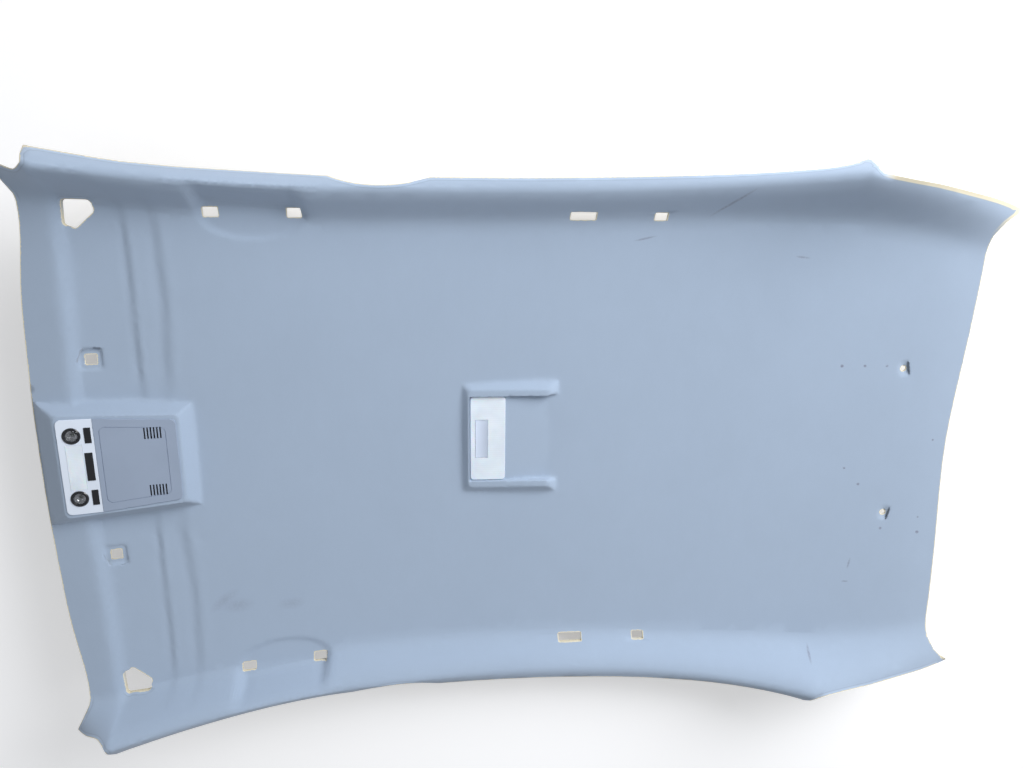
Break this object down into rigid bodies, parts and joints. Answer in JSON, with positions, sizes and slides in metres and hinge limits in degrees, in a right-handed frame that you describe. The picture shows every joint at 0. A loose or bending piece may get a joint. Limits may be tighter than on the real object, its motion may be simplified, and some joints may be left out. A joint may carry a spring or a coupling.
{
  "type": "car headliner panel",
  "caption": "Moulded roof lining panel for a car with raised front console, reading lamps, switches, rear courtesy lamp and openings for visors and grab handles.",
  "frame": {"origin": "under the middle of the panel's bounding box, at the level of its lowest back point", "axes": "+X towards the rear edge, +Y towards one side edge, +Z out of the fabric face"},
  "size_m": [2.042, 1.268, 0.2728],
  "materials": {
    "roof_fabric": "fine needled fabric",
    "bezel_plastic": "light satin",
    "cover_plastic": "light grey satin",
    "black_plastic": "black satin",
    "reflector_chrome": "bright",
    "bulb_glass": "clear",
    "clear_lens": "ribbed clear",
    "frosted_lens": "frosted",
    "button_plastic": "light satin",
    "contact_brass": "plain",
    "spring_steel": "plain",
    "board_green": "lacquered",
    "housing_plastic": "black moulded"
  },
  "bodies": {
    "panel": {"headliner_shell": "roof_fabric", "console_bezel": "bezel_plastic", "courtesy_lens": "clear_lens", "courtesy_bulb": "bulb_glass", "console_cover": "cover_plastic", "console_housing": "housing_plastic", "circuit_board": "board_green", "connector_socket": "housing_plastic", "rear_lamp_lens": "frosted_lens", "rear_lamp_housing": "housing_plastic", "rear_lamp_bulb": "bulb_glass", "reading_lamp_ring_left": "black_plastic", "reading_lamp_lens_left": "clear_lens", "reading_lamp_reflector_left": "reflector_chrome", "reading_lamp_bulb_left": "bulb_glass", "courtesy_contact_left": "contact_brass", "reading_switch_left": "housing_plastic", "rocker_switch_left": "housing_plastic", "microphone_left": "housing_plastic", "front_clip_left": "spring_steel", "rear_clip_left": "spring_steel", "rear_lamp_contact_left": "contact_brass", "rear_lamp_switch_left": "housing_plastic", "rear_lamp_clip_left": "spring_steel", "reading_lamp_ring_right": "black_plastic", "reading_lamp_lens_right": "clear_lens", "reading_lamp_reflector_right": "reflector_chrome", "reading_lamp_bulb_right": "bulb_glass", "courtesy_contact_right": "contact_brass", "reading_switch_right": "housing_plastic", "rocker_switch_right": "housing_plastic", "microphone_right": "housing_plastic", "front_clip_right": "spring_steel", "rear_clip_right": "spring_steel", "rear_lamp_contact_right": "contact_brass", "rear_lamp_switch_right": "housing_plastic", "rear_lamp_clip_right": "spring_steel"},
    "reading_button_left_body": {"reading_button_left": "black_plastic"},
    "reading_button_right_body": {"reading_button_right": "black_plastic"},
    "centre_rocker_body": {"centre_rocker": "black_plastic"},
    "rear_lamp_button_body": {"rear_lamp_button": "button_plastic"}
  },
  "joints": [
    {"name": "reading_button_left_press", "type": "slide", "parent": "panel", "child": "reading_button_left_body", "axis": [-0.1951, 0, -0.9808], "range_m": [0, 0.0015], "stiffness_N_per_m": 800},
    {"name": "reading_button_right_press", "type": "slide", "parent": "panel", "child": "reading_button_right_body", "axis": [-0.1951, 0, -0.9808], "range_m": [0, 0.0015], "stiffness_N_per_m": 800},
    {"name": "centre_rocker_tilt", "type": "hinge", "parent": "panel", "child": "centre_rocker_body", "pos_m": [-0.91452, 0, 0.15186], "axis": [0.9808, 0, -0.1951], "range_deg": [-4, 4], "stiffness_Nm_per_rad": 0.6},
    {"name": "rear_lamp_button_tilt", "type": "hinge", "parent": "panel", "child": "rear_lamp_button_body", "pos_m": [-0.0989, 0, 0.0138], "axis": [1, 0, 0], "range_deg": [-4, 4], "stiffness_Nm_per_rad": 0.6}
  ]
}
